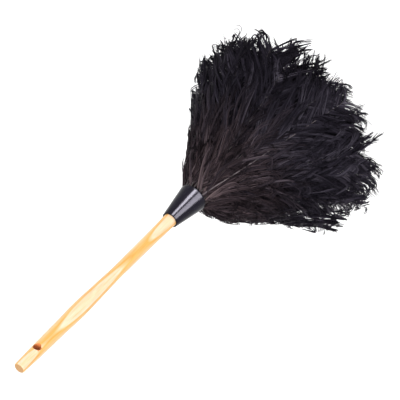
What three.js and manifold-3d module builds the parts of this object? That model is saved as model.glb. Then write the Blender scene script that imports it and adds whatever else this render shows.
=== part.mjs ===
// Feather duster, hanging plume-down from the hole near the butt of its wooden handle.
// A turned handle ends in a tapered spigot. Three rows of plumes lie round the spigot, each row
// tied down by its own winding of twine, and a conical ferrule with a collar of set glue covers the ties.
//
// Everything is drawn on the bench axis: +Z runs from the butt (z = 0) towards the plumes.
// The last lines turn the finished assembly over, so that in the part's frame the origin is the
// centre of the hang hole, the hole runs along Y, +Z is up and the plumes point down. Millimetres.
import * as THREE from "three";
import { mergeVertices } from "three/addons/utils/BufferGeometryUtils.js";
import Module from "manifold-3d";

const wasm = await Module();
wasm.setup();

// ---- Driving dimensions ----
const HANDLE_LENGTH = 254; // wood that shows, from the butt to the ferrule
const BUTT_RADIUS = 5.95;
const LOWER_GRIP = { z: 30, radius: 6.85 };
const UPPER_GRIP = { z: 64, radius: 7.4 };
const SWELL = { z: 96, radius: 8.2 }; // the thickest place, where the hand closes
const WAIST = { z: 128, radius: 7.4 };
const NECK = { z: 158, radius: 6.5 }; // the thinnest place above the grip
const SHANK = { z: 180, radius: 6.6 };
const THROAT = { z: 222, radius: 6.95 };
const TOP_RADIUS = 7.6; // where the wood enters the ferrule
const BUTT_EASING = 1.1; // rounding of the butt's edge
const HOLE_FROM_BUTT = 28;
const HOLE_RADIUS = 4;
const HOLE_EASING = 0.7; // depth of the hole's broken edge
const GAP = 0.3; // play between pieces that touch

const FERRULE_LENGTH = 43;
const FERRULE_RADIUS = 9.3; // outside, at the narrow end
const FERRULE_MOUTH_RADIUS = 16.4; // outside, at the mouth
const FERRULE_WALL = 1.2;
const FERRULE_SEAT = 7; // length of the bore that grips the handle
const CONE_SLOPE = (FERRULE_MOUTH_RADIUS - FERRULE_RADIUS) / FERRULE_LENGTH;

const QUILL_RADIUS = 0.85;
const TWINE_RADIUS = 0.275;
const TWINE_PITCH = 0.75;
const ROW_STEP = 2 * (QUILL_RADIUS + TWINE_RADIUS + GAP); // from one row of quills to the next

const FLARE_SHAPE = 7; // above 1, a shaft bends most near the ferrule
const DROOP_SIDE = THREE.MathUtils.degToRad(180); // the side on which the plumes lie over furthest
const DROOP = 0.22; // share by which the flare grows on that side and shrinks on the other
const CELL_FILL = 0.9; // share of its own cell of the head that a plume's vane fills
const VANE_RINGS = [0, 0.06, 0.14, 0.25, 0.4, 0.58, 0.76, 0.9, 0.975, 1];
const SPINE_STEPS = 60;

// Each row: number of plumes, where its quills begin (from the ferrule's narrow end), the shaft's
// length past the mouth, its angle from the axis at the tip, and its place counted from outside.
const ROWS = [
  { name: "inner", count: 12, root: 31, reach: 212, tipAngle: 12, depth: 2 },
  { name: "middle", count: 17, root: 21, reach: 210, tipAngle: 24.5, depth: 1 },
  { name: "outer", count: 21, root: 12, reach: 203, tipAngle: 38.5, depth: 0 },
];
const TWINE_START = 1.2; // from a quill's root end to its winding
const TWINE_TURNS = 6;

const MOUTH_Z = HANDLE_LENGTH + FERRULE_LENGTH;

// ---- Materials ----
const wood = new THREE.MeshStandardMaterial({ color: 0xe3b56b, roughness: 0.35, metalness: 0 });
const blackPlastic = new THREE.MeshStandardMaterial({ color: 0x08080a, roughness: 0.15, metalness: 0 });
const plume = new THREE.MeshStandardMaterial({ color: 0x0d0b10, roughness: 0.8, metalness: 0 });
const twine = new THREE.MeshStandardMaterial({ color: 0x6b5a44, roughness: 0.9, metalness: 0 });
const glue = new THREE.MeshStandardMaterial({ color: 0xc9b98f, roughness: 0.4, metalness: 0 });

// ---- Helpers ----
const smoothstep = THREE.MathUtils.smoothstep;

// Inside radius of the ferrule's cone, h above its narrow end.
const coneRadius = (h) => FERRULE_RADIUS - FERRULE_WALL + CONE_SLOPE * h;

// Radius of a row's quill centres, h above the ferrule's narrow end. depth 0 is the outermost row.
function rowRadius(depth, h) {
  const wall = GAP + 2 * TWINE_RADIUS + GAP + QUILL_RADIUS;
  return coneRadius(h) - wall - depth * ROW_STEP;
}

// A solid turned round the bench axis from a profile of [radius, z] pairs.
function turned(profile, segments = 32) {
  const points = profile.map(([radius, z]) => new THREE.Vector2(radius, z));
  return new THREE.LatheGeometry(points, segments).rotateX(Math.PI / 2).scale(1, -1, 1);
}

// Swaps two corners of each triangle, which turns a mirrored geometry's faces out again.
function facingOut(geometry) {
  const corners = geometry.index.array;
  for (let i = 0; i < corners.length; i += 3) {
    [corners[i + 1], corners[i + 2]] = [corners[i + 2], corners[i + 1]];
  }
  return geometry;
}

function toManifold(geometry) {
  const bare = geometry.clone();
  bare.deleteAttribute("normal");
  bare.deleteAttribute("uv");
  const merged = mergeVertices(bare, 1e-4);
  const vertProperties = new Float32Array(merged.attributes.position.array);
  const triVerts = new Uint32Array(merged.index.array);
  return new wasm.Manifold(new wasm.Mesh({ numProp: 3, vertProperties, triVerts }));
}

function fromManifold(solid) {
  const mesh = solid.getMesh();
  const geometry = new THREE.BufferGeometry();
  geometry.setAttribute("position", new THREE.BufferAttribute(mesh.vertProperties, 3));
  geometry.setIndex(new THREE.BufferAttribute(mesh.triVerts, 1));
  geometry.computeVertexNormals();
  return geometry;
}

function named(name, geometry, material) {
  const mesh = new THREE.Mesh(geometry, material);
  mesh.name = name;
  return mesh;
}

// ---- Handle ----
// The outline is one smooth curve from the butt to the top, then a step down to the spigot, which
// tapers so that every row of quills clears it.
function handleOutline() {
  const stations = [LOWER_GRIP, UPPER_GRIP, SWELL, WAIST, NECK, SHANK, THROAT];
  const grip = new THREE.SplineCurve([
    new THREE.Vector2(BUTT_RADIUS, BUTT_EASING),
    ...stations.map(({ z, radius }) => new THREE.Vector2(radius, z)),
    new THREE.Vector2(TOP_RADIUS, HANDLE_LENGTH),
  ]).getPoints(24);
  const edge = [0, 0.5, 1].map((share) => {
    const angle = (share * Math.PI) / 2;
    const radius = BUTT_RADIUS - BUTT_EASING * (1 - Math.sin(angle));
    return [radius, BUTT_EASING * (1 - Math.cos(angle))];
  });
  const spigot = (h) => HANDLE_LENGTH + h;
  const coreUnderRow = (row) => rowRadius(row.depth, row.root) - QUILL_RADIUS - GAP;
  const [inner, middle, outer] = ROWS;
  return [
    [0, 0],
    ...edge.slice(0, -1),
    ...grip.map((point) => [point.x, point.y]),
    [TOP_RADIUS, spigot(FERRULE_SEAT)],
    [coreUnderRow(outer), spigot(FERRULE_SEAT + 1)],
    [coreUnderRow(outer), spigot(outer.root)],
    [coreUnderRow(middle), spigot(middle.root - 2)],
    [coreUnderRow(inner), spigot(inner.root - 2)],
    [coreUnderRow(inner), spigot(FERRULE_LENGTH + 7)],
    [coreUnderRow(inner) - 1, spigot(FERRULE_LENGTH + 8)],
    [0, spigot(FERRULE_LENGTH + 8)],
  ];
}

// The cutter for the hang hole: a straight drill with a wider, tapered end at each face of the wood.
function holeCutter() {
  const face = LOWER_GRIP.radius; // half the wood's thickness at the hole
  const past = 4;
  const wide = HOLE_RADIUS + (HOLE_EASING + past) * 0.8;
  const profile = [
    [0, -face - past],
    [wide, -face - past],
    [HOLE_RADIUS, -face + HOLE_EASING],
    [HOLE_RADIUS, face - HOLE_EASING],
    [wide, face + past],
    [0, face + past],
  ];
  const drill = facingOut(turned(profile, 24));
  return drill.rotateX(Math.PI / 2).translate(0, 0, HOLE_FROM_BUTT);
}

function makeHandle() {
  const blank = toManifold(facingOut(turned(handleOutline(), 28)));
  return named("handle", fromManifold(blank.subtract(toManifold(holeCutter()))), wood);
}

// ---- Ferrule ----
function makeFerrule() {
  const bore = TOP_RADIUS + GAP;
  const lip = 0.5; // rounding of both rims
  const profile = [
    [bore, 0],
    [FERRULE_RADIUS - lip, 0],
    [FERRULE_RADIUS, lip],
    [FERRULE_MOUTH_RADIUS - 0.1, FERRULE_LENGTH - 2 * lip],
    [FERRULE_MOUTH_RADIUS - 0.35, FERRULE_LENGTH - 0.3],
    [FERRULE_MOUTH_RADIUS - 0.8, FERRULE_LENGTH],
    [coneRadius(FERRULE_LENGTH), FERRULE_LENGTH],
    [coneRadius(FERRULE_SEAT + 1), FERRULE_SEAT + 1],
    [bore, FERRULE_SEAT],
    [bore, 0],
  ];
  const shell = facingOut(turned(profile, 40)).translate(0, 0, HANDLE_LENGTH);
  return named("ferrule", shell, blackPlastic);
}

// The collar of hot-melt glue that fills the ferrule between its seat and the outer row's quills.
function makeGlueCollar() {
  const [, , outer] = ROWS;
  const inside = rowRadius(outer.depth, outer.root) - QUILL_RADIUS;
  const low = FERRULE_SEAT + 1 + GAP;
  const high = outer.root - GAP;
  const profile = [
    [inside, low],
    [coneRadius(low) - GAP, low],
    [coneRadius(high) - GAP, high],
    [inside, high],
    [inside, low],
  ];
  return named("glue_collar", facingOut(turned(profile, 28)).translate(0, 0, HANDLE_LENGTH), glue);
}

// ---- Twine ----
// One winding: turns of twine side by side, joined into a sleeve that follows the quills' slope.
function makeWinding(row) {
  const start = row.root + TWINE_START;
  const inside = (h) => rowRadius(row.depth, h) + QUILL_RADIUS + GAP;
  const ridges = [];
  for (let turn = 0; turn <= TWINE_TURNS; turn += 1) {
    const h = start + turn * TWINE_PITCH;
    ridges.push([inside(h) + TWINE_RADIUS * 1.1, h]);
    if (turn < TWINE_TURNS) {
      const middle = h + TWINE_PITCH / 2;
      ridges.push([inside(middle) + 2 * TWINE_RADIUS, middle]);
    }
  }
  const end = start + TWINE_TURNS * TWINE_PITCH;
  const profile = [[inside(start), start], ...ridges, [inside(end), end], [inside(start), start]];
  const sleeve = facingOut(turned(profile, 24)).translate(0, 0, HANDLE_LENGTH);
  return named(`twine_${row.name}`, sleeve, twine);
}

// ---- Plumes ----
// The head is laid out by three coordinates: t runs over the rows (-1 on the axis, 0 on the inner
// row, 1 on the middle one, 2 on the outer one), azimuth goes round the axis, and share runs along
// the shafts (0 at the ferrule's mouth, 1 at the tips, negative inside the ferrule).
const AXIS_ROW = { reach: ROWS[0].reach, tipAngle: 0, mouthRadius: 0, startAngle: 0 };
const ROW_LINES = ROWS.map((row) => ({
  reach: row.reach,
  tipAngle: THREE.MathUtils.degToRad(row.tipAngle),
  mouthRadius: rowRadius(row.depth, FERRULE_LENGTH),
  startAngle: Math.atan(CONE_SLOPE),
}));

// A row line's value at t, straight between the rows and carried on past the outer one.
function rowValue(key, t) {
  const lines = [AXIS_ROW, ...ROW_LINES];
  const low = Math.min(Math.floor(t + 1), lines.length - 2);
  return THREE.MathUtils.lerp(lines[low][key], lines[low + 1][key], t + 1 - low);
}

// The point of the head at t, azimuth and share, found by following the shaft's curve.
function headPoint(t, azimuth, share) {
  const reach = rowValue("reach", t);
  const start = rowValue("startAngle", t);
  const lean = 1 + DROOP * Math.cos(azimuth - DROOP_SIDE);
  const tip = rowValue("tipAngle", t) * lean;
  const steps = share > 0 ? SPINE_STEPS : 1;
  const stride = (share * reach) / steps;
  let radius = rowValue("mouthRadius", t);
  let z = MOUTH_Z;
  for (let i = 0; i < steps; i += 1) {
    const done = share > 0 ? ((i + 0.5) / steps) * share : 0;
    const angle = start + (tip - start) * (1 - (1 - done) ** FLARE_SHAPE);
    radius += Math.sin(angle) * stride;
    z += Math.cos(angle) * stride;
  }
  return new THREE.Vector3(radius * Math.cos(azimuth), radius * Math.sin(azimuth), z);
}

// Half the size of a plume's solid in one direction: the quill's radius where it is closed, and
// the given share of the way to the edge of the plume's own cell where it is open.
function halfSize(centre, edge, open) {
  const away = edge.clone().sub(centre);
  const full = Math.max(away.length(), QUILL_RADIUS);
  return away.setLength(THREE.MathUtils.lerp(QUILL_RADIUS, full, open));
}

// One plume as a closed solid: a unit cylinder bent along its shaft and widened from the quill into
// a vane that keeps inside its own cell of the head, so that no two plumes meet.
function makePlume(row, number) {
  const t = ROWS.indexOf(row);
  const azimuth = ((number + 0.5 * row.depth) / row.count) * 2 * Math.PI;
  const halfSector = (Math.PI / row.count) * CELL_FILL;
  const rootShare = -(FERRULE_LENGTH - row.root) / Math.cos(Math.atan(CONE_SLOPE)) / row.reach;
  const rings = [rootShare, ...VANE_RINGS].map((share) => {
    const round = Math.sqrt(Math.max(0, 1 - (Math.max(0, share - 0.7) / 0.31) ** 2));
    const open = smoothstep(share, 0, 0.3) * round;
    const centre = headPoint(t, azimuth, share);
    const outwards = halfSize(centre, headPoint(t + 0.5 * CELL_FILL, azimuth, share), open);
    const inwards = halfSize(centre, headPoint(t - 0.5 * CELL_FILL, azimuth, share), open);
    const across = halfSize(centre, headPoint(t, azimuth - halfSector, share), open);
    return { centre, outwards, inwards, across };
  });
  const solid = new THREE.CylinderGeometry(1, 1, 1, 6, rings.length - 1);
  const places = solid.attributes.position;
  for (let i = 0; i < places.count; i += 1) {
    const [x, y, z] = [places.getX(i), places.getY(i), places.getZ(i)];
    const { centre, outwards, inwards, across } = rings[Math.round((0.5 - y) * (rings.length - 1))];
    const place = centre.clone().addScaledVector(x > 0 ? outwards : inwards, Math.abs(x));
    place.addScaledVector(across, z);
    places.setXYZ(i, place.x, place.y, place.z);
  }
  const label = String(number + 1).padStart(2, "0");
  return named(`plume_${row.name}_${label}`, facingOut(solid), plume);
}

// ---- Assembly ----
const bench = new THREE.Group();
bench.add(makeHandle(), makeFerrule(), makeGlueCollar());
for (const row of ROWS) {
  bench.add(makeWinding(row));
  for (let number = 0; number < row.count; number += 1) {
    bench.add(makePlume(row, number));
  }
}

// Turn the duster over about the hang hole, which becomes the origin.
bench.rotation.x = Math.PI;
bench.position.z = HOLE_FROM_BUTT;

const duster = new THREE.Group();
duster.add(bench);
export default duster;
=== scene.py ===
"""Feather duster: lacquered handle, black ferrule and a head of ostrich plumes.

Every plume is a quill with some hundreds of loose barbs. The barbs grow along the plume's shaft, run
together into locks, bend over by their own weight, curl at their ends and stop at the head's rim.
"""
import math
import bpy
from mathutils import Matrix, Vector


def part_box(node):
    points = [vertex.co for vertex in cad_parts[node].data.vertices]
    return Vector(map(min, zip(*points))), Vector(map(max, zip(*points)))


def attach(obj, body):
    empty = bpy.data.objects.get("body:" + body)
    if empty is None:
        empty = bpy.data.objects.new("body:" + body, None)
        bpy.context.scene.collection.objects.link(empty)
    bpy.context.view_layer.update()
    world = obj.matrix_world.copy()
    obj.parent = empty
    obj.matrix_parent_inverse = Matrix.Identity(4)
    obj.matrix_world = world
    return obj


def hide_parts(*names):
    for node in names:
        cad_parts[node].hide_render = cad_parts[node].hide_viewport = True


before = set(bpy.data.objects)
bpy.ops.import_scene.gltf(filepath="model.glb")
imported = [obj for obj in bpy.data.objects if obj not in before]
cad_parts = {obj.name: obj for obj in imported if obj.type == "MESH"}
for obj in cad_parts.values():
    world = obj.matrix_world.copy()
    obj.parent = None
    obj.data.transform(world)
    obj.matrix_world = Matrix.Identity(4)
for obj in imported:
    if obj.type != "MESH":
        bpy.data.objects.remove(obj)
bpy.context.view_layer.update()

import zlib

import bmesh
import bpy
import numpy as np
from mathutils import Matrix, Vector

MM = 0.001
NEARLY_ZERO = 1e-6

# ---- Places on the frame, in metres ----
BUTT_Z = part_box("handle")[1][2]
MOUTH_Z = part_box("ferrule")[0][2]
FERRULE_TOP_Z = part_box("ferrule")[1][2]

# ---- Handle, in millimetres ----
# The radius at distances from the butt, and then that of the spigot inside the head.
HANDLE_STATIONS = [
    (1.1, 5.95), (30, 6.85), (64, 7.4), (96, 8.2), (128, 7.4),
    (158, 6.5), (180, 6.6), (222, 6.95), (254, 7.6), (261, 7.6),
]
SPIGOT_STATIONS = [(262, 6.7), (264, 6.4), (275, 5.0), (283, 3.9), (304, 3.9), (305, 2.9), (305, 0)]
BUTT_EASING = 1.1  # the round on the butt's edge
BUTT_INSET = 1.2  # a ring this far inside the round keeps the butt's face flat
HOLE_RADIUS = 4.0
HOLE_FACE = 6.85  # half the wood's thickness at the hole
HOLE_EASING = 0.7  # how deep the hole's broken edge goes
HOLE_FLARE = 0.3  # how much wider the hole is there

# The growth rings lie across one side of the handle. GRAIN_RINGS has the ring at the handle's middle
# line, from the butt (0) to the ferrule (1). Where a ring ends, its dark late wood shows.
GRAIN_AZIMUTH = math.radians(-25)  # round the handle, from the -Y side towards +X
GRAIN_SPACING = 8.2 * MM
GRAIN_RINGS = [
    (0.0, 1.42), (0.06, 1.26), (0.10, 1.075), (0.14, 0.975), (0.20, 0.95), (0.25, 1.0),
    (0.32, 1.095), (0.38, 1.12), (0.48, 1.17), (0.62, 1.165), (0.67, 1.09), (0.73, 1.02),
    (0.80, 1.0), (0.84, 1.055), (0.90, 1.18), (1.0, 1.22),
]

# ---- Ferrule, in millimetres ----
FERRULE_LENGTH = 43.0
FERRULE_RADIUS = 9.3  # outside, where it meets the handle
FERRULE_MOUTH_RADIUS = 16.4
FERRULE_WALL = 1.2
FERRULE_BORE = 7.9  # the radius of its seat on the handle
FERRULE_SEAT = 7
FERRULE_ROLL = 0.55  # the round on both rims

# ---- The head's layout, as the frame's plumes have it ----
CONE_ANGLE = math.atan((FERRULE_MOUTH_RADIUS - FERRULE_RADIUS) / FERRULE_LENGTH)
FLARE_SHAPE = 7  # the higher, the sooner the shafts turn outwards past the mouth
DROOP_SIDE = math.radians(180)  # the azimuth that the head leans over to
DROOP = 0.22  # by this share of their flare the shafts open wider there, and less on the other side
# Each row's plumes: how many, how many half steps the row is turned, how far below the ferrule's top
# the quills start, how far the plumes reach past its mouth, their flare at the tip, and the radius of
# their circle at the mouth. Lengths are in millimetres and angles in degrees, here and in GROWTH.
ROWS = {
    "inner": {"count": 12, "turn": 2, "root": 31, "reach": 212, "tip": 12, "mouth": 7.5},
    "middle": {"count": 17, "turn": 1, "root": 21, "reach": 210, "tip": 24.5, "mouth": 10.35},
    "outer": {"count": 21, "turn": 0, "root": 12, "reach": 203, "tip": 38.5, "mouth": 13.2},
}
SHAFT_STEPS = 64
SHAFT_SHARE = 0.94  # of the row's reach, the rest being barbs

# ---- How the barbs grow ----
# By row: the barbs' length, how unevenly they lift off the vane, their angles to the shaft from its
# root to its tip, how far the shaft's end bends outwards, and how pale they are. The inner rows are
# painted darker as shade, so that the gaps between the outer locks show dark.
GROWTH = {
    "inner": {"barb": 70, "fluff": 20, "angles": [26, 28, 38, 46], "bend": 12, "tone": 0.5},
    "middle": {"barb": 76, "fluff": 18, "angles": [30, 28, 36, 46], "bend": 10, "tone": 0.7},
    "outer": {"barb": 84, "fluff": 15, "angles": [34, 24, 34, 46], "bend": 8, "tone": 1.12},
}
BARBS_PER_SIDE = 245
FULLER_PLUMES = {"outer_10": 340, "outer_11": 340, "middle_08": 320, "middle_09": 320}
BARB_STEPS = 13
BARB_RADIUS = 0.6 * MM
BARB_FLATNESS = 0.45
FUZZ_PER_BARB = 2
FUZZ_LENGTH = 2.2 * MM
FUZZ_FOOT = 0.14 * MM  # a barbule's width where it leaves the barb
LOCK = 5  # barbs that run together to one tip
RIM = 212 * MM  # how far from the mouth's centre the barbs end
# How far single plumes reach, as a share of the rim. The others reach the usual share.
USUAL_REACH = 0.975
REACHES = {
    "outer_01": 0.85, "outer_02": 0.84, "outer_03": 0.86, "outer_04": 0.88, "outer_05": 0.86,
    "outer_06": 1.07, "outer_07": 0.83, "outer_08": 0.88, "outer_09": 0.96, "outer_10": 1.02,
    "outer_11": 0.98, "outer_12": 0.95, "outer_13": 0.93, "outer_14": 0.98, "outer_15": 0.87,
    "outer_16": 0.92, "outer_19": 0.91, "outer_20": 0.88, "outer_21": 0.86, "middle_02": 0.93,
    "middle_03": 0.93, "middle_04": 1.0, "middle_07": 0.96, "middle_08": 0.98,
}
LOOSE_PLUMES = ("outer_06", "outer_12")  # their ends curl over most
PALE_QUILLS = ("outer_09",)  # the shaft stands out and shows pale between its barbs
QUILL_LIFT = 5 * MM
QUILL_RADII = (0.85, 0.85, 0.16)  # in millimetres: at the root, the mouth and the tip

# The way the loose barbs hang, and the sides of the head where the plumes are different.
HANG = np.array([-0.461, 0.693, 0.554])
HANG_AZIMUTH = math.atan2(HANG[1], HANG[0])
DRAPED_AZIMUTH = math.radians(160)  # the barbs hang most
TUCKED_AZIMUTH = math.radians(105)  # the shafts' ends bend inwards
PARTED_AND_SHADED_AZIMUTH = math.radians(-55)  # the locks stand apart, and their tone is painted darker there as shade

# ---- Camera and studio, in metres ----
CAMERA_AZIMUTH = math.radians(-25)
CAMERA_ELEVATION = math.radians(38)
CAMERA_ROLL = math.radians(134.69)
CAMERA_DISTANCE = 1.8
CAMERA_LENS = 153.7  # in millimetres, as is the sensor
CAMERA_SENSOR = 36
CAMERA_AIM = Vector((-0.0164, -0.0180, -0.2557))
FLOOR_Z = -1.7
FLOOR_RADIUS = 16
SWEEP_RADIUS = 5  # of the curve from the floor to the wall
WORLD_LIGHT = 0.22


# ---- Camera ----
def camera_axes():
    """The camera's right, up and backward directions."""
    azimuth, elevation = CAMERA_AZIMUTH, CAMERA_ELEVATION
    right = Vector((math.cos(azimuth), math.sin(azimuth), 0))
    back = Vector((
        math.sin(azimuth) * math.cos(elevation),
        -math.cos(azimuth) * math.cos(elevation),
        math.sin(elevation),
    ))
    up = back.cross(right)
    cos, sin = math.cos(CAMERA_ROLL), math.sin(CAMERA_ROLL)
    return cos * right - sin * up, sin * right + cos * up, back


def facing_matrix(right, up, back):
    """The turn of a camera or a lamp that looks along minus back."""
    return Matrix((right, up, back)).transposed().to_4x4()


def make_camera():
    right, up, back = camera_axes()
    data = bpy.data.cameras.new("camera")
    data.lens = CAMERA_LENS
    data.sensor_width = CAMERA_SENSOR
    camera = bpy.data.objects.new("camera", data)
    place = CAMERA_AIM + back * CAMERA_DISTANCE
    camera.matrix_world = Matrix.Translation(place) @ facing_matrix(right, up, back)
    bpy.context.scene.collection.objects.link(camera)
    bpy.context.scene.camera = camera


# ---- Materials ----
class Surface:
    """A node material that is being built round its Principled shader."""

    def __init__(self, name):
        self.material = bpy.data.materials.new(name)
        self.material.use_nodes = True
        self.nodes = self.material.node_tree.nodes
        self.links = self.material.node_tree.links
        self.shader = self.nodes["Principled BSDF"]

    def set(self, socket, value):
        """Sets one of the shader's own sockets."""
        self.shader.inputs[socket].default_value = value

    def place(self):
        """The socket of the places on the object."""
        return self.nodes.new("ShaderNodeTexCoord").outputs["Object"]

    def noise(self, place, scale, detail):
        """A noise with about scale waves to a metre along each axis."""
        mapping = self.nodes.new("ShaderNodeMapping")
        mapping.inputs["Scale"].default_value = scale
        self.links.new(place, mapping.inputs["Vector"])
        noise = self.nodes.new("ShaderNodeTexNoise")
        noise.inputs["Scale"].default_value = 1
        noise.inputs["Detail"].default_value = detail
        self.links.new(mapping.outputs["Vector"], noise.inputs["Vector"])
        return noise.outputs["Fac"]

    def ramp(self, value, stops, interpolation="LINEAR"):
        """A colour ramp with (place, colour) stops, read at value."""
        node = self.nodes.new("ShaderNodeValToRGB")
        node.color_ramp.interpolation = interpolation
        elements = node.color_ramp.elements
        while len(elements) < len(stops):
            elements.new(0.5)
        for element, (place, colour) in zip(elements, stops):
            element.position = place
            element.color = (*colour, 1)
        self.links.new(value, node.inputs["Fac"])
        return node.outputs["Color"]

    def maths(self, operation, *values):
        """A Math node on sockets and numbers."""
        node = self.nodes.new("ShaderNodeMath")
        node.operation = operation
        for socket, value in zip(node.inputs, values):
            if isinstance(value, (int, float)):
                socket.default_value = value
            else:
                self.links.new(value, socket)
        return node.outputs[0]

    def mix(self, blend, share, first, second):
        """A colour Mix node. share is a number or a socket."""
        node = self.nodes.new("ShaderNodeMix")
        node.data_type = "RGBA"
        node.blend_type = blend
        if isinstance(share, float):
            node.inputs["Factor"].default_value = share
        else:
            self.links.new(share, node.inputs["Factor"])
        colours = [socket for socket in node.inputs if socket.type == "RGBA"]
        self.links.new(first, colours[0])
        self.links.new(second, colours[1])
        return next(socket for socket in node.outputs if socket.type == "RGBA")

    def colour(self, socket):
        self.links.new(socket, self.shader.inputs["Base Color"])

    def tint(self, noise, dark, pale):
        """Colours the surface between dark and pale by a noise."""
        self.colour(self.ramp(noise, [(0.3, dark), (0.7, pale)]))

    def roughness(self, noise, low, high):
        """Varies the roughness between low and high by a noise."""
        node = self.nodes.new("ShaderNodeMapRange")
        node.inputs["To Min"].default_value = low
        node.inputs["To Max"].default_value = high
        self.links.new(noise, node.inputs["Value"])
        self.links.new(node.outputs[0], self.shader.inputs["Roughness"])

    def bump(self, noise, strength, depth):
        """Raises the surface by a noise, up to depth."""
        node = self.nodes.new("ShaderNodeBump")
        node.inputs["Strength"].default_value = strength
        node.inputs["Distance"].default_value = depth
        self.links.new(noise, node.inputs["Height"])
        self.links.new(node.outputs["Normal"], self.shader.inputs["Normal"])


def core_ring(surface, place):
    """The growth ring at the handle's middle line, with a slow waver."""
    parts = surface.nodes.new("ShaderNodeSeparateXYZ")
    surface.links.new(place, parts.inputs[0])
    along = surface.nodes.new("ShaderNodeMapRange")
    along.inputs["From Min"].default_value = BUTT_Z
    along.inputs["From Max"].default_value = FERRULE_TOP_Z
    surface.links.new(parts.outputs["Z"], along.inputs["Value"])
    # A ramp's colours end at 1, so it holds half of each ring's number.
    halves = [(share, (ring / 2, ring / 2, ring / 2)) for share, ring in GRAIN_RINGS]
    half = surface.ramp(along.outputs[0], halves, "B_SPLINE")
    waver = surface.maths("MULTIPLY", surface.noise(place, (70, 70, 14), 2.0), 0.2)
    return surface.maths("MULTIPLY_ADD", half, 2, waver)


def ring_depth(surface, place):
    """How many rings a place lies off the handle's middle line, towards GRAIN_AZIMUTH."""
    depth = surface.nodes.new("ShaderNodeVectorMath")
    depth.operation = "DOT_PRODUCT"
    depth.inputs[1].default_value = (
        math.sin(GRAIN_AZIMUTH) / GRAIN_SPACING, -math.cos(GRAIN_AZIMUTH) / GRAIN_SPACING, 0,
    )
    surface.links.new(place, depth.inputs[0])
    return depth.outputs["Value"]


def wood_material():
    """Pale lacquered wood: growth rings cut along the handle, fine pores and a satin coat."""
    wood = Surface("lacquered_wood")
    place = wood.place()
    ring = wood.maths("ADD", ring_depth(wood, place), core_ring(wood, place))
    bands = wood.ramp(wood.maths("FRACT", ring), [
        (0.0, (0.79, 0.62, 0.46)),
        (0.35, (0.79, 0.58, 0.36)),
        (0.75, (0.79, 0.49, 0.21)),
        (0.93, (0.78, 0.39, 0.09)),
        (1.0, (0.79, 0.60, 0.41)),
    ])
    cloud = wood.noise(place, (420, 420, 18), 4.0)
    tone = wood.ramp(cloud, [(0.36, (0.95, 0.84, 0.66)), (0.60, (1.0, 1.0, 1.0))])
    pores = wood.noise(place, (1500, 1500, 45), 2.0)
    streaks = wood.ramp(pores, [(0.36, (0.80, 0.62, 0.38)), (0.5, (1, 1, 1))])
    wood.colour(wood.mix("MULTIPLY", 0.4, wood.mix("MULTIPLY", 0.8, bands, tone), streaks))
    wood.roughness(cloud, 0.34, 0.48)
    wood.bump(pores, 0.1, 0.0002)
    wood.set("Specular IOR Level", 0.3)
    wood.set("Coat Weight", 0.15)
    wood.set("Coat Roughness", 0.2)
    return wood.material


def end_grain_material(name, dark, pale):
    """Wood cut across the grain, where the lacquer soaks in and darkens it."""
    wood = Surface(name)
    wood.tint(wood.noise(wood.place(), (900, 900, 900), 3.0), dark, pale)
    wood.set("Roughness", 0.6)
    wood.set("Specular IOR Level", 0.2)
    return wood.material


def ferrule_material():
    """Moulded black plastic, glossy, with the faint waviness and rubbing of a cheap moulding."""
    plastic = Surface("black_gloss_plastic")
    place = plastic.place()
    waves = plastic.noise(place, (120, 120, 40), 2.0)
    plastic.tint(waves, (0.0035, 0.003, 0.0065), (0.007, 0.006, 0.012))
    plastic.roughness(plastic.noise(place, (700, 700, 120), 4.0), 0.17, 0.23)
    plastic.bump(waves, 0.03, 0.0003)
    plastic.set("Specular IOR Level", 0.1)
    plastic.set("Specular Tint", (0.9, 0.86, 1.0, 1))
    return plastic.material


def feather_material():
    """Dyed barbs: violet black, brown where the dye is thin, lighter on some strands, and darker where
    shade is painted into the strands' tone.
    """
    feather = Surface("dyed_feather")
    strand = feather.nodes.new("ShaderNodeAttribute")
    strand.attribute_name = "strand"
    parts = feather.nodes.new("ShaderNodeSeparateColor")
    feather.links.new(strand.outputs["Color"], parts.inputs["Color"])
    tone, brown = parts.outputs["Red"], parts.outputs["Green"]
    black = feather.ramp(tone, [
        (0.0, (0.0012, 0.0011, 0.0017)),
        (0.4, (0.0205, 0.0178, 0.0255)),
        (1.0, (0.088, 0.079, 0.100)),
    ])
    rusty = feather.ramp(tone, [
        (0.0, (0.0030, 0.0022, 0.0024)),
        (0.4, (0.060, 0.042, 0.046)),
        (1.0, (0.200, 0.145, 0.145)),
    ])
    feather.colour(feather.mix("MIX", brown, black, rusty))
    feather.set("Roughness", 0.38)
    feather.set("Specular IOR Level", 0.03)
    feather.set("Specular Tint", (0.86, 0.78, 1.0, 1))
    return feather.material


def quill_material(name, dark, pale):
    """The bare shaft: streaky horn."""
    horn = Surface(name)
    horn.tint(horn.noise(horn.place(), (300, 300, 60), 3.0), dark, pale)
    horn.set("Roughness", 0.35)
    return horn.material


def twine_material():
    """Natural twine: fibres twisted across each turn."""
    twine = Surface("natural_twine")
    twine.tint(twine.noise(twine.place(), (900, 900, 2600), 4.0), (0.10, 0.07, 0.04), (0.36, 0.27, 0.17))
    twine.set("Roughness", 0.9)
    return twine.material


def glue_material():
    """Set hot-melt glue: cloudy amber."""
    glue = Surface("set_glue")
    glue.tint(glue.noise(glue.place(), (220, 220, 220), 3.0), (0.42, 0.33, 0.17), (0.62, 0.53, 0.33))
    glue.set("Roughness", 0.35)
    return glue.material


def floor_material():
    """A plain white studio floor."""
    floor = Surface("studio_floor")
    floor.set("Base Color", (0.92, 0.92, 0.92, 1))
    floor.set("Roughness", 0.9)
    floor.set("Specular IOR Level", 0)
    return floor.material


# ---- Mesh helpers ----
def quarter_turn(steps):
    """The angles from 0 to a right angle, in even steps, both ends among them."""
    return [math.pi / 2 * i / steps for i in range(steps + 1)]


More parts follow.
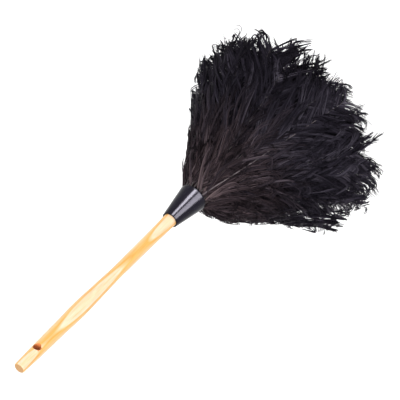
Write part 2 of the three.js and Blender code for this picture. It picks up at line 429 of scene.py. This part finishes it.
def mesh_object(name, vertices, faces, materials):
    """A new object from vertices and faces, linked to the scene."""
    mesh = bpy.data.meshes.new(name)
    mesh.from_pydata(vertices, [], faces)
    mesh.validate()
    thing = bpy.data.objects.new(name, mesh)
    for material in materials:
        mesh.materials.append(material)
    bpy.context.scene.collection.objects.link(thing)
    return thing


def triangle_object(name, vertices, triangles, materials, slots):
    """A new object from arrays of vertices and triangles, with a material slot for each triangle."""
    mesh = bpy.data.meshes.new(name)
    mesh.vertices.add(len(vertices))
    mesh.vertices.foreach_set("co", np.ascontiguousarray(vertices, np.float32).ravel())
    mesh.loops.add(3 * len(triangles))
    mesh.loops.foreach_set("vertex_index", np.ascontiguousarray(triangles, np.int32).ravel())
    mesh.polygons.add(len(triangles))
    mesh.polygons.foreach_set("loop_start", np.arange(0, 3 * len(triangles), 3, dtype=np.int32))
    for material in materials:
        mesh.materials.append(material)
    mesh.polygons.foreach_set("material_index", np.ascontiguousarray(slots, np.int32))
    mesh.update(calc_edges=True)
    mesh.shade_smooth()
    thing = bpy.data.objects.new(name, mesh)
    bpy.context.scene.collection.objects.link(thing)
    return thing


def face_outwards(mesh):
    work = bmesh.new()
    work.from_mesh(mesh)
    bmesh.ops.recalc_face_normals(work, faces=work.faces)
    work.to_mesh(mesh)
    work.free()


def turned(name, profile, segments, materials):
    """A body turned round Z from (radius, z) pairs. A pair on the axis becomes one vertex.

    A profile that starts off the axis is closed on itself.
    """
    rings, vertices, faces = [], [], []
    for radius, z in profile:
        count = 1 if radius == 0 else segments
        rings.append((len(vertices), count))
        for i in range(count):
            angle = 2 * math.pi * i / segments
            vertices.append((radius * math.cos(angle), radius * math.sin(angle), z))
    closing = [(rings[-1], rings[0])] if profile[0][0] != 0 else []
    for (a, a_count), (b, b_count) in list(zip(rings, rings[1:])) + closing:
        for i in range(segments):
            j = (i + 1) % segments
            if a_count == 1:
                faces.append((a, b + j, b + i))
            elif b_count == 1:
                faces.append((a + i, a + j, b))
            else:
                faces.append((a + i, a + j, b + j, b + i))
    thing = mesh_object(name, vertices, faces, materials)
    face_outwards(thing.data)
    return thing


def smooth_by_angle(thing, degrees):
    thing.data.shade_smooth()
    thing.data.set_sharp_from_angle(angle=math.radians(degrees))


def catmull_rom(points, steps):
    """A smooth line through points, with steps pieces between each two."""
    padded = [points[0], *points, points[-1]]
    line = []
    for p0, p1, p2, p3 in zip(padded, padded[1:], padded[2:], padded[3:]):
        for i in range(steps):
            t = i / steps
            line.append(tuple(
                0.5 * (2 * b + (c - a) * t + (2 * a - 5 * b + 4 * c - d) * t * t
                       + (3 * b - a - 3 * c + d) * t ** 3)
                for a, b, c, d in zip(p0, p1, p2, p3)
            ))
    return [*line, points[-1]]


# ---- Handle ----
def handle_profile():
    """The handle's outline from the butt to the end of the spigot."""
    butt = HANDLE_STATIONS[0][1]
    profile = [(0, 0), (butt - BUTT_EASING - BUTT_INSET, 0)]
    for angle in quarter_turn(6):
        profile.append((butt - BUTT_EASING * (1 - math.sin(angle)), BUTT_EASING * (1 - math.cos(angle))))
    grip = catmull_rom(HANDLE_STATIONS, 12)
    profile += [(radius, z) for z, radius in grip[1:] + SPIGOT_STATIONS]
    return [(radius * MM, BUTT_Z - z * MM) for radius, z in profile]


def hole_cutter():
    """The hang hole's cutter: a bore with its edges broken, opening wide outside the wood."""
    wide, outside = HOLE_RADIUS + 4.75, HOLE_FACE + 4
    surface = HOLE_FACE - 0.05
    half = [
        (0, outside),
        (wide, outside),
        (HOLE_RADIUS + HOLE_FLARE, surface),
        (HOLE_RADIUS, HOLE_FACE - HOLE_EASING),
    ]
    profile = half + [(radius, -z) for radius, z in reversed(half)]
    cutter = turned("hole_cutter", [(radius * MM, z * MM) for radius, z in profile], 64, [])
    cutter.rotation_euler.x = math.pi / 2
    return cutter


def cut_hole(blank):
    """Cuts the hang hole through the turned handle."""
    cutter = hole_cutter()
    cut = blank.modifiers.new("hang_hole", "BOOLEAN")
    cut.operation = "DIFFERENCE"
    cut.solver = "EXACT"
    cut.object = cutter
    bpy.context.view_layer.update()
    depsgraph = bpy.context.evaluated_depsgraph_get()
    mesh = bpy.data.meshes.new_from_object(blank.evaluated_get(depsgraph))
    blank.modifiers.clear()
    blank.data = mesh
    bpy.data.objects.remove(cutter)


def stain_cut_wood(mesh, bore, end):
    """Gives the hang hole's wall and the butt's face materials of their own."""
    mesh.materials.append(bore)
    mesh.materials.append(end)
    bore_reach = (HOLE_RADIUS + 0.4) * MM
    butt_depth = 0.1 * MM
    for face in mesh.polygons:
        if math.hypot(face.center.x, face.center.z) < bore_reach:
            face.material_index = 1
        elif face.center.z > BUTT_Z - butt_depth:
            face.material_index = 2


def make_handle(wood, bore, end):
    """The handle, with one material for its side, one for the hang hole and one for the butt."""
    blank = turned("handle_turned", handle_profile(), 96, [wood])
    cut_hole(blank)
    stain_cut_wood(blank.data, bore, end)
    smooth_by_angle(blank, 40)
    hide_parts("handle")
    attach(blank, "root")


# ---- Ferrule ----
def ferrule_profile():
    """The ferrule's wall as a closed outline: seat, rolled rim, outside, rolled mouth, inside."""
    length, narrow, wide = FERRULE_LENGTH, FERRULE_RADIUS, FERRULE_MOUTH_RADIUS
    wall, roll = FERRULE_WALL, FERRULE_ROLL
    slope = (wide - narrow) / length
    outline = [(FERRULE_BORE, 0.25), (FERRULE_BORE + 0.2, 0.0), (narrow - roll, 0.0)]
    for angle in quarter_turn(4)[1:]:
        outline.append((narrow - roll + roll * math.sin(angle), roll * (1 - math.cos(angle))))
    for i in range(1, 20):
        z = roll + (length - 2 * roll) * i / 20
        outline.append((narrow + slope * z, z))
    lip = wide - 0.05 - roll
    for angle in quarter_turn(4):
        outline.append((lip + roll * math.cos(angle), length - roll + roll * math.sin(angle)))
    outline += [(wide - wall + 0.1, length), (wide - wall - 0.1, length - 0.3)]
    step = FERRULE_SEAT + 1
    outline += [(narrow - wall + slope * step, step), (FERRULE_BORE, FERRULE_SEAT)]
    return [(radius * MM, FERRULE_TOP_Z - z * MM) for radius, z in outline]


def make_ferrule(material):
    shell = turned("ferrule_moulded", ferrule_profile(), 128, [material])
    smooth_by_angle(shell, 50)
    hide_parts("ferrule")
    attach(shell, "root")
    return shell


# ---- Plumes: number work ----
def unit(v):
    return v / np.maximum(np.linalg.norm(v, axis=-1, keepdims=True), 1e-12)


def ease(x, low, high):
    """0 below low, 1 above high, smooth between."""
    t = np.clip((x - low) / (high - low), 0, 1)
    return t * t * (3 - 2 * t)


def facing(azimuth, side):
    """How much an azimuth round the head lies to a side: 1 right there, 0 from a quarter turn away."""
    return np.maximum(np.cos(azimuth - side), 0)


def at_shares(shares, table, wanted):
    """Rows of table, given at shares, read at the wanted shares."""
    return np.stack([np.interp(wanted, shares, table[:, k]) for k in range(table.shape[1])], axis=1)


def locks_in(count):
    """How many locks a run of barbs makes, with one for what is left over."""
    return count // LOCK + 1


def by_lock(values, count):
    """Each lock's value, given to every barb in it."""
    return np.repeat(values, LOCK, axis=0)[:count]


# ---- Plumes: shafts ----
def flare(tip_degrees, azimuth):
    """The angle that a row's shafts reach at their tips, at an azimuth round the head."""
    return math.radians(tip_degrees) * (1 + DROOP * np.cos(azimuth - DROOP_SIDE))


def shaft(row, azimuth, look):
    """A plume's shaft from the mouth to the tip: shares of its length, places, directions, normals."""
    share = np.linspace(0, look["share"], SHAFT_STEPS)
    tip = flare(row["tip"], azimuth)
    angle = CONE_ANGLE + (tip - CONE_ANGLE) * (1 - (1 - share) ** FLARE_SHAPE)
    angle = angle + look["bend"] * ease(share, 0.5, 1.0)
    stride = row["reach"] * MM * look["share"] / (SHAFT_STEPS - 1)
    middle = (angle[1:] + angle[:-1]) / 2
    radius = row["mouth"] * MM + np.concatenate([[0], np.cumsum(np.sin(middle)) * stride])
    drop = np.concatenate([[0], np.cumsum(np.cos(middle)) * stride])
    out = np.array([math.cos(azimuth), math.sin(azimuth), 0])
    side = np.array([-math.sin(azimuth), math.cos(azimuth), 0])
    up = np.array([0, 0, 1.0])
    places = radius[:, None] * out + (MOUTH_Z - drop)[:, None] * up
    places += side * (look["sway"] * share ** 2.2)[:, None]
    places += HANG * (look["sag"] * share ** 2.5)[:, None]
    along = unit(np.gradient(places, axis=0))
    normals = np.cos(angle)[:, None] * out + np.sin(angle)[:, None] * up
    normals = unit(normals - along * np.sum(normals * along, axis=1)[:, None])
    return share / look["share"], places, along, normals


def skin_radius(azimuth, drop):
    """The outer row's distance from the axis, at a drop below the ferrule's mouth."""
    row = ROWS["outer"]
    start, end = math.tan(CONE_ANGLE), np.tan(flare(row["tip"], azimuth))
    bend = row["reach"] * MM / FLARE_SHAPE
    eased = drop - bend * (1 - np.exp(-np.maximum(drop, 0) / bend))
    return row["mouth"] * MM + start * drop + (end - start) * eased


# ---- Plumes: barbs ----
def barb_roots(rng, count, downy):
    """Where along the shaft the barbs grow, as shares. The downy part of them grows near its root."""
    low = rng.random(count) < downy
    near_root = 0.15 * rng.random(count)
    thicker_to_tip = 0.005 + 0.995 * rng.random(count) ** 0.7
    return np.sort(np.where(low, near_root, thicker_to_tip))


def barb_headings(rng, at, forward, normal, side, look):
    """The directions in which the barbs leave the shaft.

    A lock lifts off the vane as one, most near the shaft's root, and each barb strays a little from it.
    """
    count, locks = len(at), locks_in(len(at))
    across = unit(np.cross(forward, normal)) * side
    lift = look["roll"] * side + by_lock(rng.normal(0, look["fluff"], locks), count) * (1.4 - at)
    lift = np.radians(lift + rng.normal(0, 4, count))
    flat = np.cos(lift)[:, None] * across + np.sin(lift)[:, None] * normal
    opened = np.interp(at, [0, 0.12, 0.6, 1], look["angles"])
    opened = np.radians(opened + by_lock(rng.normal(0, 5, locks), count) + rng.normal(0, 2, count))
    return np.cos(opened)[:, None] * forward + np.sin(opened)[:, None] * flat


def barb_lengths(rng, at, longest):
    """The barbs' lengths, which are greatest a third of the way up the shaft."""
    count = len(at)
    size = np.interp(at, [0, 0.1, 0.35, 0.75, 1], [0.7, 0.9, 1.0, 0.9, 0.6])
    by_locks = by_lock(rng.uniform(0.8, 1.15, locks_in(count)), count)
    return longest * size * by_locks * rng.uniform(0.9, 1.08, count)


def barb_curls(rng, count, look):
    """How far each barb's end turns over. Some locks end in a hook."""
    locks = locks_in(count)
    hooked = rng.choice([0, 1], locks, p=[1 - look["hooks"], look["hooks"]])
    hooks = hooked * rng.uniform(2.0, 4.5, locks)
    return by_lock(rng.normal(look["curl"], 0.5, locks) + hooks, count) + rng.normal(0, 0.25, count)


def barb_paths(rng, line, side, look):
    """One side's barbs: their roots' shares of the shaft, and their centre lines.

    The centre lines are an array of barbs by BARB_STEPS by 3.
    """
    count = look["barbs"]
    shares, places, along, normals = line
    at = barb_roots(rng, count, look["downy"])
    forward = unit(at_shares(shares, along, at))
    normal = unit(at_shares(shares, normals, at))
    heading = barb_headings(rng, at, forward, normal, side, look)
    stride = barb_lengths(rng, at, look["barb"]) / (BARB_STEPS - 1)
    skew = by_lock(rng.normal(0, 0.45, (locks_in(count), 3)), count)
    curl_axis = unit(np.cross(heading, normal) + skew)
    curl = barb_curls(rng, count, look)
    paths = np.empty((count, BARB_STEPS, 3))
    paths[:, 0] = at_shares(shares, places, at)
    for step in range(1, BARB_STEPS):
        u = step / (BARB_STEPS - 1)
        pull = look["comb"] * (1 - u) * forward + look["hang"] * (0.35 + u) * HANG
        twist = np.cross(curl_axis, heading) * (curl * ease(u, 0.5, 0.9))[:, None]
        heading = unit(heading + (pull + 2.2 * twist) / BARB_STEPS)
        paths[:, step] = paths[:, step - 1] + heading * stride[:, None]
    return at, paths


def wavy(rng, paths):
    """Gives each lock a slow wave of its own along its length."""
    count, locks = len(paths), locks_in(len(paths))
    sway = by_lock(rng.normal(0, 1.6 * MM, (locks, 3)), count)
    phase = by_lock(rng.uniform(0, 2 * math.pi, locks), count)
    u = np.linspace(0, 1, BARB_STEPS)
    wave = np.sin(phase[:, None] + 5.5 * u) * ease(u, 0, 0.5)
    return paths + sway[:, None] * wave[..., None]


def gather_locks(rng, paths, strength):
    """Pulls each run of LOCK barbs together towards its middle, more towards the tips."""
    count = len(paths) // LOCK * LOCK
    groups = paths[:count].reshape(-1, LOCK, BARB_STEPS, 3)
    guide = groups.mean(axis=1, keepdims=True)
    u = np.linspace(0, 1, BARB_STEPS)
    pull = strength * rng.uniform(0.5, 1.1, (len(groups), LOCK, 1)) * u ** 0.7
    gathered = groups + (guide - groups) * np.clip(pull, 0, 0.95)[..., None]
    paths[:count] = gathered.reshape(count, BARB_STEPS, 3)
    return paths


def within_rim(rng, paths, plume_reach):
    """Shortens the barbs whose ends are past the head's rim.

    Each lock has a reach of its own, and each barb in it strays a little from that.
    """
    count = len(paths)
    mouth = np.array([0, 0, MOUTH_Z])
    wanted = plume_reach * RIM * by_lock(rng.normal(1, 0.022, locks_in(count)), count)
    wanted = wanted * rng.normal(1, 0.015, count)
    for _ in range(2):
        reach = np.linalg.norm(paths - mouth, axis=2)
        root, longest = reach[:, 0], reach.max(axis=1)
        part = (wanted - root) / np.maximum(longest - root, NEARLY_ZERO)
        part = np.where(longest > wanted, np.clip(part, 0.25, 1), 1)
        paths = paths[:, :1] + (paths - paths[:, :1]) * part[:, None, None]
    return paths


def combed_in(rng, paths):
    """Lays the barbs that stand off the head's side down along it. The underside hangs freer.

    limit is how far from the axis a barb may be, and play how softly it stops there.
    """
    count = len(paths)
    azimuth = np.arctan2(paths[..., 1], paths[..., 0])
    drop = MOUTH_Z - paths[..., 2]
    radius = np.hypot(paths[..., 0], paths[..., 1])
    fullness = ease(drop / RIM, -0.02, 0.14)
    underside = facing(azimuth, HANG_AZIMUTH) * (1 - ease(drop / RIM, 0.26, 0.5))
    limit = skin_radius(azimuth, drop) + (0.8 + (7 + 13 * underside) * fullness) * MM
    play = (0.8 + 2.2 * fullness + 8 * ease(drop / RIM, 0.55, 0.85)) * MM
    limit = limit + by_lock(rng.normal(0, 2 * MM, locks_in(count)), count)[:, None] * fullness
    past = np.maximum(radius - limit, 0)
    wanted = np.minimum(radius, limit) + play * np.tanh(past / play)
    paths[..., :2] *= (wanted / np.maximum(radius, NEARLY_ZERO))[..., None]
    return paths


def grow_side(rng, line, side, look):
    """One side's finished barbs: their roots' shares of the shaft, and their centre lines."""
    at, paths = barb_paths(rng, line, side, look)
    paths = gather_locks(rng, wavy(rng, paths), look["lock"])
    paths = within_rim(rng, paths, look["reach"])
    return at, combed_in(rng, paths)


# ---- Plumes: meshes ----
def tube_faces(rings, sides):
    """The triangles between rings of vertices that follow each other."""
    faces = []
    for ring in range(rings - 1):
        for i in range(sides):
            a, b = sides * ring + i, sides * ring + (i + 1) % sides
            faces += [(a, b, b + sides), (a, b + sides, a + sides)]
    return faces


def strands(rng, paths):
    """The barbs as three-sided strands that taper to a point: vertices and triangles."""
    count, steps, _ = paths.shape
    u = np.linspace(0, 1, steps)
    radii = BARB_RADIUS * rng.uniform(0.5, 1.3, (count, 1)) * (1 - 0.4 * u ** 2)
    along = unit(np.gradient(paths, axis=1))
    slanted = np.array([0.31, -0.57, 0.76])  # a direction that barbs hardly ever have
    wide = unit(np.cross(along, slanted))
    thin = np.cross(along, wide) * BARB_FLATNESS
    angles = 2 * math.pi * np.arange(3) / 3
    ring = wide[:, :, None] * np.cos(angles)[:, None] + thin[:, :, None] * np.sin(angles)[:, None]
    body = paths[:, :-1, None] + ring[:, :-1] * radii[:, :-1, None, None]
    vertices = np.concatenate([body.reshape(count, -1, 3), paths[:, -1:]], axis=1)
    last, tip = 3 * (steps - 2), 3 * (steps - 1)
    faces = tube_faces(steps - 1, 3)
    faces += [(last + i, last + (i + 1) % 3, tip) for i in range(3)]
    faces.append((2, 1, 0))
    offsets = (np.arange(count) * vertices.shape[1])[:, None, None]
    return vertices.reshape(-1, 3), (np.array(faces)[None] + offsets).reshape(-1, 3)


def fuzz(rng, paths):
    """Barbules: single needle-thin triangles standing off the barbs."""
    shape = (len(paths), FUZZ_PER_BARB)
    u = rng.uniform(0.05, 0.98, shape) * (BARB_STEPS - 1)
    low = np.floor(u).astype(int)
    part = (u - low)[..., None]
    rows = np.arange(len(paths))[:, None]
    base = paths[rows, low] * (1 - part) + paths[rows, low + 1] * part
    along = unit(paths[rows, low + 1] - paths[rows, low])
    out = unit(np.cross(along, rng.normal(0, 1, (*shape, 3))))
    reach = FUZZ_LENGTH * rng.uniform(0.5, 1.2, (*shape, 1))
    tip = base + (0.8 * out + 0.9 * along) * reach
    foot = along * FUZZ_FOOT / 2
    vertices = np.stack([base - foot, base + foot, tip], axis=2).reshape(-1, 3)
    return vertices, np.arange(len(vertices)).reshape(-1, 3)


def quill_tube(line, root_place, lift):
    """The shaft as a six-sided taper from its root in the ferrule to the plume's tip.

    lift is how far it stands out above the barbs a quarter of the way along.
    """
    shares, places, along, normals = line
    keep = np.linspace(0, len(places) - 1, 22).astype(int)
    raised = places + normals * (lift * np.sin(math.pi * np.minimum(2 * shares, 1)))[:, None]
    centre = np.concatenate([[root_place], raised[keep]])
    direction = unit(np.gradient(centre, axis=0))
    normal = unit(np.concatenate([[normals[0]], normals[keep]]))
    across = np.cross(direction, normal)
    radius = np.interp(np.arange(len(centre)), [0, 1, len(centre) - 1], QUILL_RADII) * MM
    angles = 2 * math.pi * np.arange(6) / 6
    rings = centre[:, None] + radius[:, None, None] * (
        normal[:, None] * np.cos(angles)[:, None] + across[:, None] * np.sin(angles)[:, None]
    )
    end = 6 * (len(centre) - 1)
    faces = tube_faces(len(centre), 6)
    faces += [(0, i + 1, i) for i in range(1, 5)]
    faces += [(end, end + i, end + i + 1) for i in range(1, 5)]
    return rings.reshape(-1, 3), np.array(faces)


def plume_colours(rng, at, plume_tone_and_shade, quill_points):
    """The colours of a plume's vertices, tone in red and brown in green: barbs, fuzz and quill. The tone
    carries painted shade.
    """
    count = len(at)
    lock_tone = by_lock(rng.beta(1.1, 1.9, locks_in(count)), count)
    tone = np.clip(plume_tone_and_shade * (0.56 * lock_tone + 0.44 * rng.beta(1.5, 2.4, count)), 0, 1)
    brown = np.clip(rng.normal(0.9, 0.3, count) * (1 - ease(at, 0.0, 0.5)), 0, 1)
    u = np.linspace(0, 1, BARB_STEPS)
    along = np.concatenate([np.repeat(u[:-1], 3), u[-1:]])
    barb_tone = np.clip(tone[:, None] * (1.15 - 0.55 * along), 0, 1)
    barb_brown = np.clip(brown[:, None] * (1 - 0.35 * along), 0, 1)
    colours = np.concatenate([
        np.stack([barb_tone.ravel(), barb_brown.ravel()], axis=1),
        np.repeat(np.stack([tone, brown * 0.7], axis=1), 3 * FUZZ_PER_BARB, axis=0),
        np.zeros((quill_points, 2)),
    ])
    blue_and_alpha = np.ones((len(colours), 2))
    return np.concatenate([colours, blue_and_alpha], axis=1).astype(np.float32)


# ---- Plumes: the whole ----
def plume_look(name, label, azimuth, rng):
    """How one plume's barbs grow, by its row and side, and with a little of its own.

    Its draws come first and in a fixed order, so that the plume is the same in every run.
    """
    growth = GROWTH[name]
    low = facing(azimuth, HANG_AZIMUTH)
    tucked = facing(azimuth, TUCKED_AZIMUTH) ** 2
    draped = facing(azimuth, DRAPED_AZIMUTH)
    # Beside parting the locks, this paints the tone darker on that side, as shade.
    parted_and_shaded = facing(azimuth, PARTED_AND_SHADED_AZIMUTH)
    first, second, *others = growth["angles"]
    return {
        "barb": growth["barb"] * (MM * rng.uniform(0.9, 1.08)),
        "share": SHAFT_SHARE * rng.uniform(0.93, 1.03),
        "bend": math.radians(growth["bend"] * (1 - tucked) - 14 * tucked + rng.normal(0, 7)),
        "sway": rng.normal(0, 9) * MM,
        "sag": rng.uniform(2, 14) * MM,
        "roll": rng.normal(0, 10),
        # Painted shade: the tone is darker on the inner rows, by GROWTH, and darker still on the parted
        # side.
        "tone": growth["tone"] * (rng.uniform(0.7, 1.25) * (1 - 0.3 * parted_and_shaded)),
        "angles": [first + 22 * low, second + 14 * low, *others],
        "barbs": FULLER_PLUMES.get(label, BARBS_PER_SIDE),
        "fluff": growth["fluff"],
        "reach": REACHES.get(label, USUAL_REACH),
        "quill_lift": QUILL_LIFT if label in PALE_QUILLS else 0,
        "hooks": 0.5 if label in LOOSE_PLUMES else 0.22,
        "curl": 0.7,
        "comb": 0.35,
        "downy": 0.12 + 0.12 * low,
        "hang": 0.3 + 0.3 * low + 0.55 * draped,
        "lock": 0.6 + 0.22 * parted_and_shaded,
    }


def make_plume(name, number, materials):
    """One plume: its quill, its barbs on both sides, their fuzz, and the colours of its strands."""
    row = ROWS[name]
    label = f"{name}_{number + 1:02d}"
    node = f"plume_{label}"
    rng = np.random.default_rng(zlib.crc32(node.encode()))
    azimuth = -2 * math.pi * (number + 0.5 * row["turn"]) / row["count"]
    look = plume_look(name, label, azimuth, rng)
    line = shaft(row, azimuth, look)
    mouth_place, mouth_direction = line[1][0], line[2][0]
    depth = FERRULE_LENGTH - row["root"]
    root = mouth_place - mouth_direction * (depth / math.cos(CONE_ANGLE)) * MM
    sides = [grow_side(rng, line, side, look) for side in (-1, 1)]
    at = np.concatenate([side_at for side_at, _ in sides])
    paths = np.concatenate([side_paths for _, side_paths in sides])
    barb_v, barb_f = strands(rng, paths)
    fuzz_v, fuzz_f = fuzz(rng, paths)
    quill_v, quill_f = quill_tube(line, root, look["quill_lift"])
    vertices = np.concatenate([barb_v, fuzz_v, quill_v])
    triangles = np.concatenate([barb_f, fuzz_f + len(barb_v), quill_f + len(barb_v) + len(fuzz_v)])
    slots = np.concatenate([np.zeros(len(barb_f) + len(fuzz_f)), np.ones(len(quill_f))])
    feather = triangle_object(f"feather_{label}", vertices, triangles, materials, slots)
    colours = plume_colours(rng, at, look["tone"], len(quill_v))
    layer = feather.data.color_attributes.new("strand", "FLOAT_COLOR", "POINT")
    layer.data.foreach_set("color", colours.ravel())
    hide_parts(node)
    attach(feather, "root")


def make_plumes():
    feather = feather_material()
    horn = quill_material("quill_horn", (0.014, 0.010, 0.011), (0.04, 0.028, 0.028))
    pale_horn = quill_material("quill_pale_horn", (0.07, 0.055, 0.062), (0.14, 0.112, 0.118))
    for name, row in ROWS.items():
        for number in range(row["count"]):
            quill = pale_horn if f"{name}_{number + 1:02d}" in PALE_QUILLS else horn
            make_plume(name, number, [feather, quill])


# ---- Carried-over pieces ----
def paint_node(node, material):
    """Gives a CAD node another material."""
    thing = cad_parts[node]
    for slot in thing.material_slots:
        slot.link = "OBJECT"
        slot.material = material


# ---- Studio ----
def make_floor():
    """A round floor that curves up into a low wall, far from the object."""
    profile = [(0, FLOOR_Z)]
    for angle in quarter_turn(12):
        rise = SWEEP_RADIUS * (1 - math.cos(angle))
        profile.append((FLOOR_RADIUS + SWEEP_RADIUS * math.sin(angle), FLOOR_Z + rise))
    floor = turned("studio_floor", profile, 96, [floor_material()])
    smooth_by_angle(floor, 40)


def towards(azimuth, elevation):
    """The direction at an azimuth from the camera's own and an elevation, both in degrees."""
    angle, rise = CAMERA_AZIMUTH + math.radians(azimuth), math.radians(elevation)
    return Vector((math.sin(angle) * math.cos(rise), -math.cos(angle) * math.cos(rise), math.sin(rise)))


def softbox(name, target, azimuth, elevation, distance, size, power):
    """A rectangular lamp that faces target from a distance. size is its width and height."""
    data = bpy.data.lights.new(name, "AREA")
    data.shape = "RECTANGLE"
    data.size, data.size_y = size
    data.energy = power
    light = bpy.data.objects.new(name, data)
    back = towards(azimuth, elevation)
    right = Vector((0, 0, 1)).cross(back).normalized()
    place = Vector(target) + distance * back
    light.matrix_world = Matrix.Translation(place) @ facing_matrix(right, back.cross(right), back)
    light.visible_camera = False
    bpy.context.scene.collection.objects.link(light)
    return light


def sun(name, azimuth, elevation, strength):
    """A soft, even light from the given side."""
    data = bpy.data.lights.new(name, "SUN")
    data.energy = strength
    data.angle = math.radians(14)
    light = bpy.data.objects.new(name, data)
    light.rotation_mode = "QUATERNION"
    light.rotation_quaternion = towards(azimuth, elevation).to_track_quat("Z", "Y")
    bpy.context.scene.collection.objects.link(light)


def light_only(lamps, thing):
    """Lets the lamps show on one thing, and there only in its gloss."""
    lit = bpy.data.collections.new("lit_by_strips")
    lit.objects.link(thing)
    for lamp in lamps:
        lamp.visible_diffuse = False
        lamp.light_linking.receiver_collection = lit


def make_world():
    world = bpy.data.worlds.new("studio_world")
    world.use_nodes = True
    background = world.node_tree.nodes["Background"]
    background.inputs["Color"].default_value = (1, 1, 1, 1)
    background.inputs["Strength"].default_value = WORLD_LIGHT
    bpy.context.scene.world = world


def make_lights(shell):
    """Suns from the camera's side, faint softboxes around, and two strips for the ferrule's gloss."""
    ferrule_middle = (0, 0, (MOUTH_Z + FERRULE_TOP_Z) / 2)
    head_middle = (0, 0, -0.35)
    light_only([
        softbox("strip_bright", ferrule_middle, 22, -20, 1.0, (0.34, 0.34), power=30),
        softbox("strip_wide", ferrule_middle, -23.5, -20, 1.0, (0.66, 0.34), power=30),
    ], shell)
    softbox("key", head_middle, 30, 55, 2.4, (1.2, 1.2), power=5)
    softbox("fill", head_middle, -60, 25, 2.6, (1.4, 1.4), power=3)
    softbox("back", head_middle, 180, 35, 2.8, (1.6, 1.6), power=5)
    sun("sun_left", -30, 60, 1.8)
    sun("sun_right", 30, 60, 1.8)
    sun("sun_front", 0, 38, 1.0)


# ---- Build ----
make_camera()
make_handle(
    wood_material(),
    end_grain_material("bore_wood", (0.46, 0.14, 0.042), (0.62, 0.23, 0.07)),
    end_grain_material("end_grain_wood", (0.40, 0.22, 0.095), (0.54, 0.32, 0.15)),
)
ferrule = make_ferrule(ferrule_material())
make_plumes()
twine = twine_material()
for node in ("twine_inner", "twine_middle", "twine_outer"):
    paint_node(node, twine)
paint_node("glue_collar", glue_material())
make_floor()
make_lights(ferrule)
make_world()
bpy.context.scene.view_settings.view_transform = "Standard"
